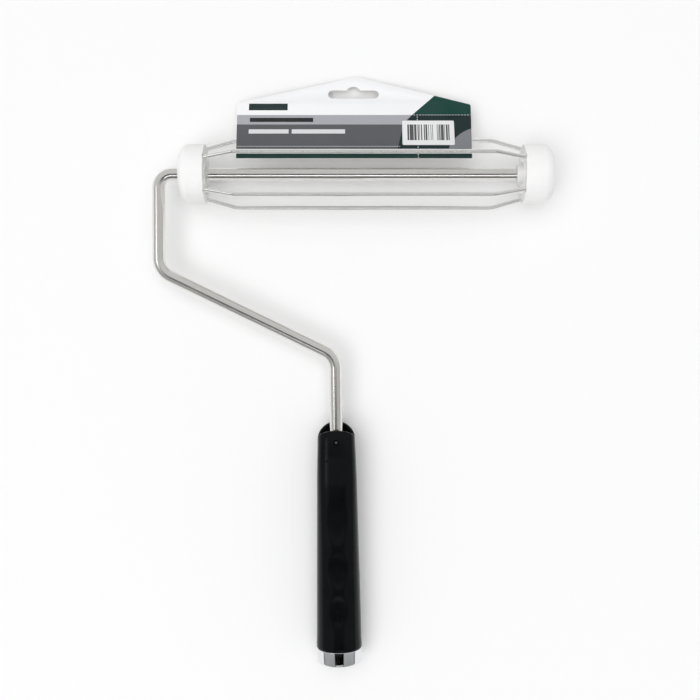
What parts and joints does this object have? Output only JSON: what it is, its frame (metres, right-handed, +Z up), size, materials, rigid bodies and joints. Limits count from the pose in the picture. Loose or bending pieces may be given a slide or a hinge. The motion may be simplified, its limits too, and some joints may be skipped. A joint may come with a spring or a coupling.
{
  "type": "paint roller frame",
  "caption": "Wire-cage paint roller frame with a bent steel rod, white end caps, black handle with a threaded pole socket, and a hanging header card.",
  "frame": {"origin": "on the surface that the object lies on, under the middle of its box", "axes": "+X along the axle towards the cage's free end, +Y away from the handle, +Z up off the surface"},
  "size_m": [0.2525, 0.3772, 0.0442],
  "materials": {
    "rod_steel": "drawn, bright zinc",
    "wire_steel": "bright drawn spring wire",
    "small_steel": "zinc plated",
    "white_nylon": "satin moulded",
    "bush_nylon": "satin moulded",
    "black_plastic": "semi-gloss moulded",
    "grey_plastic": "moulded",
    "bright_chrome": "polished plate",
    "printed_card": "printed, coated board",
    "label_paper": "matt paper label"
  },
  "bodies": {
    "frame": {"frame_rod": "rod_steel", "rod_stop_ring": "small_steel", "inner_thrust_washer": "small_steel", "outer_thrust_washer": "small_steel", "push_nut": "small_steel", "handle_body": "black_plastic", "handle_pin": "small_steel", "socket_insert": "grey_plastic", "end_ferrule": "bright_chrome"},
    "cage": {"inner_end_cap": "white_nylon", "outer_end_cap": "white_nylon", "inner_bush": "bush_nylon", "outer_bush": "bush_nylon", "outer_cap_plug": "white_nylon", "cage_wire_1": "wire_steel", "cage_wire_2": "wire_steel", "cage_wire_3": "wire_steel", "cage_wire_4": "wire_steel", "cage_wire_5": "wire_steel"},
    "card": {"header_card": "printed_card", "header_label": "label_paper"}
  },
  "joints": [
    {"name": "cage_spin", "type": "hinge", "parent": "frame", "child": "cage", "pos_m": [0.00732, 0.12141, 0.02346], "axis": [1, 0, 0], "continuous": true},
    {"name": "card_pull", "type": "slide", "parent": "cage", "child": "card", "axis": [0, 0.915, -0.4035], "range_m": [0, 0.018]}
  ]
}
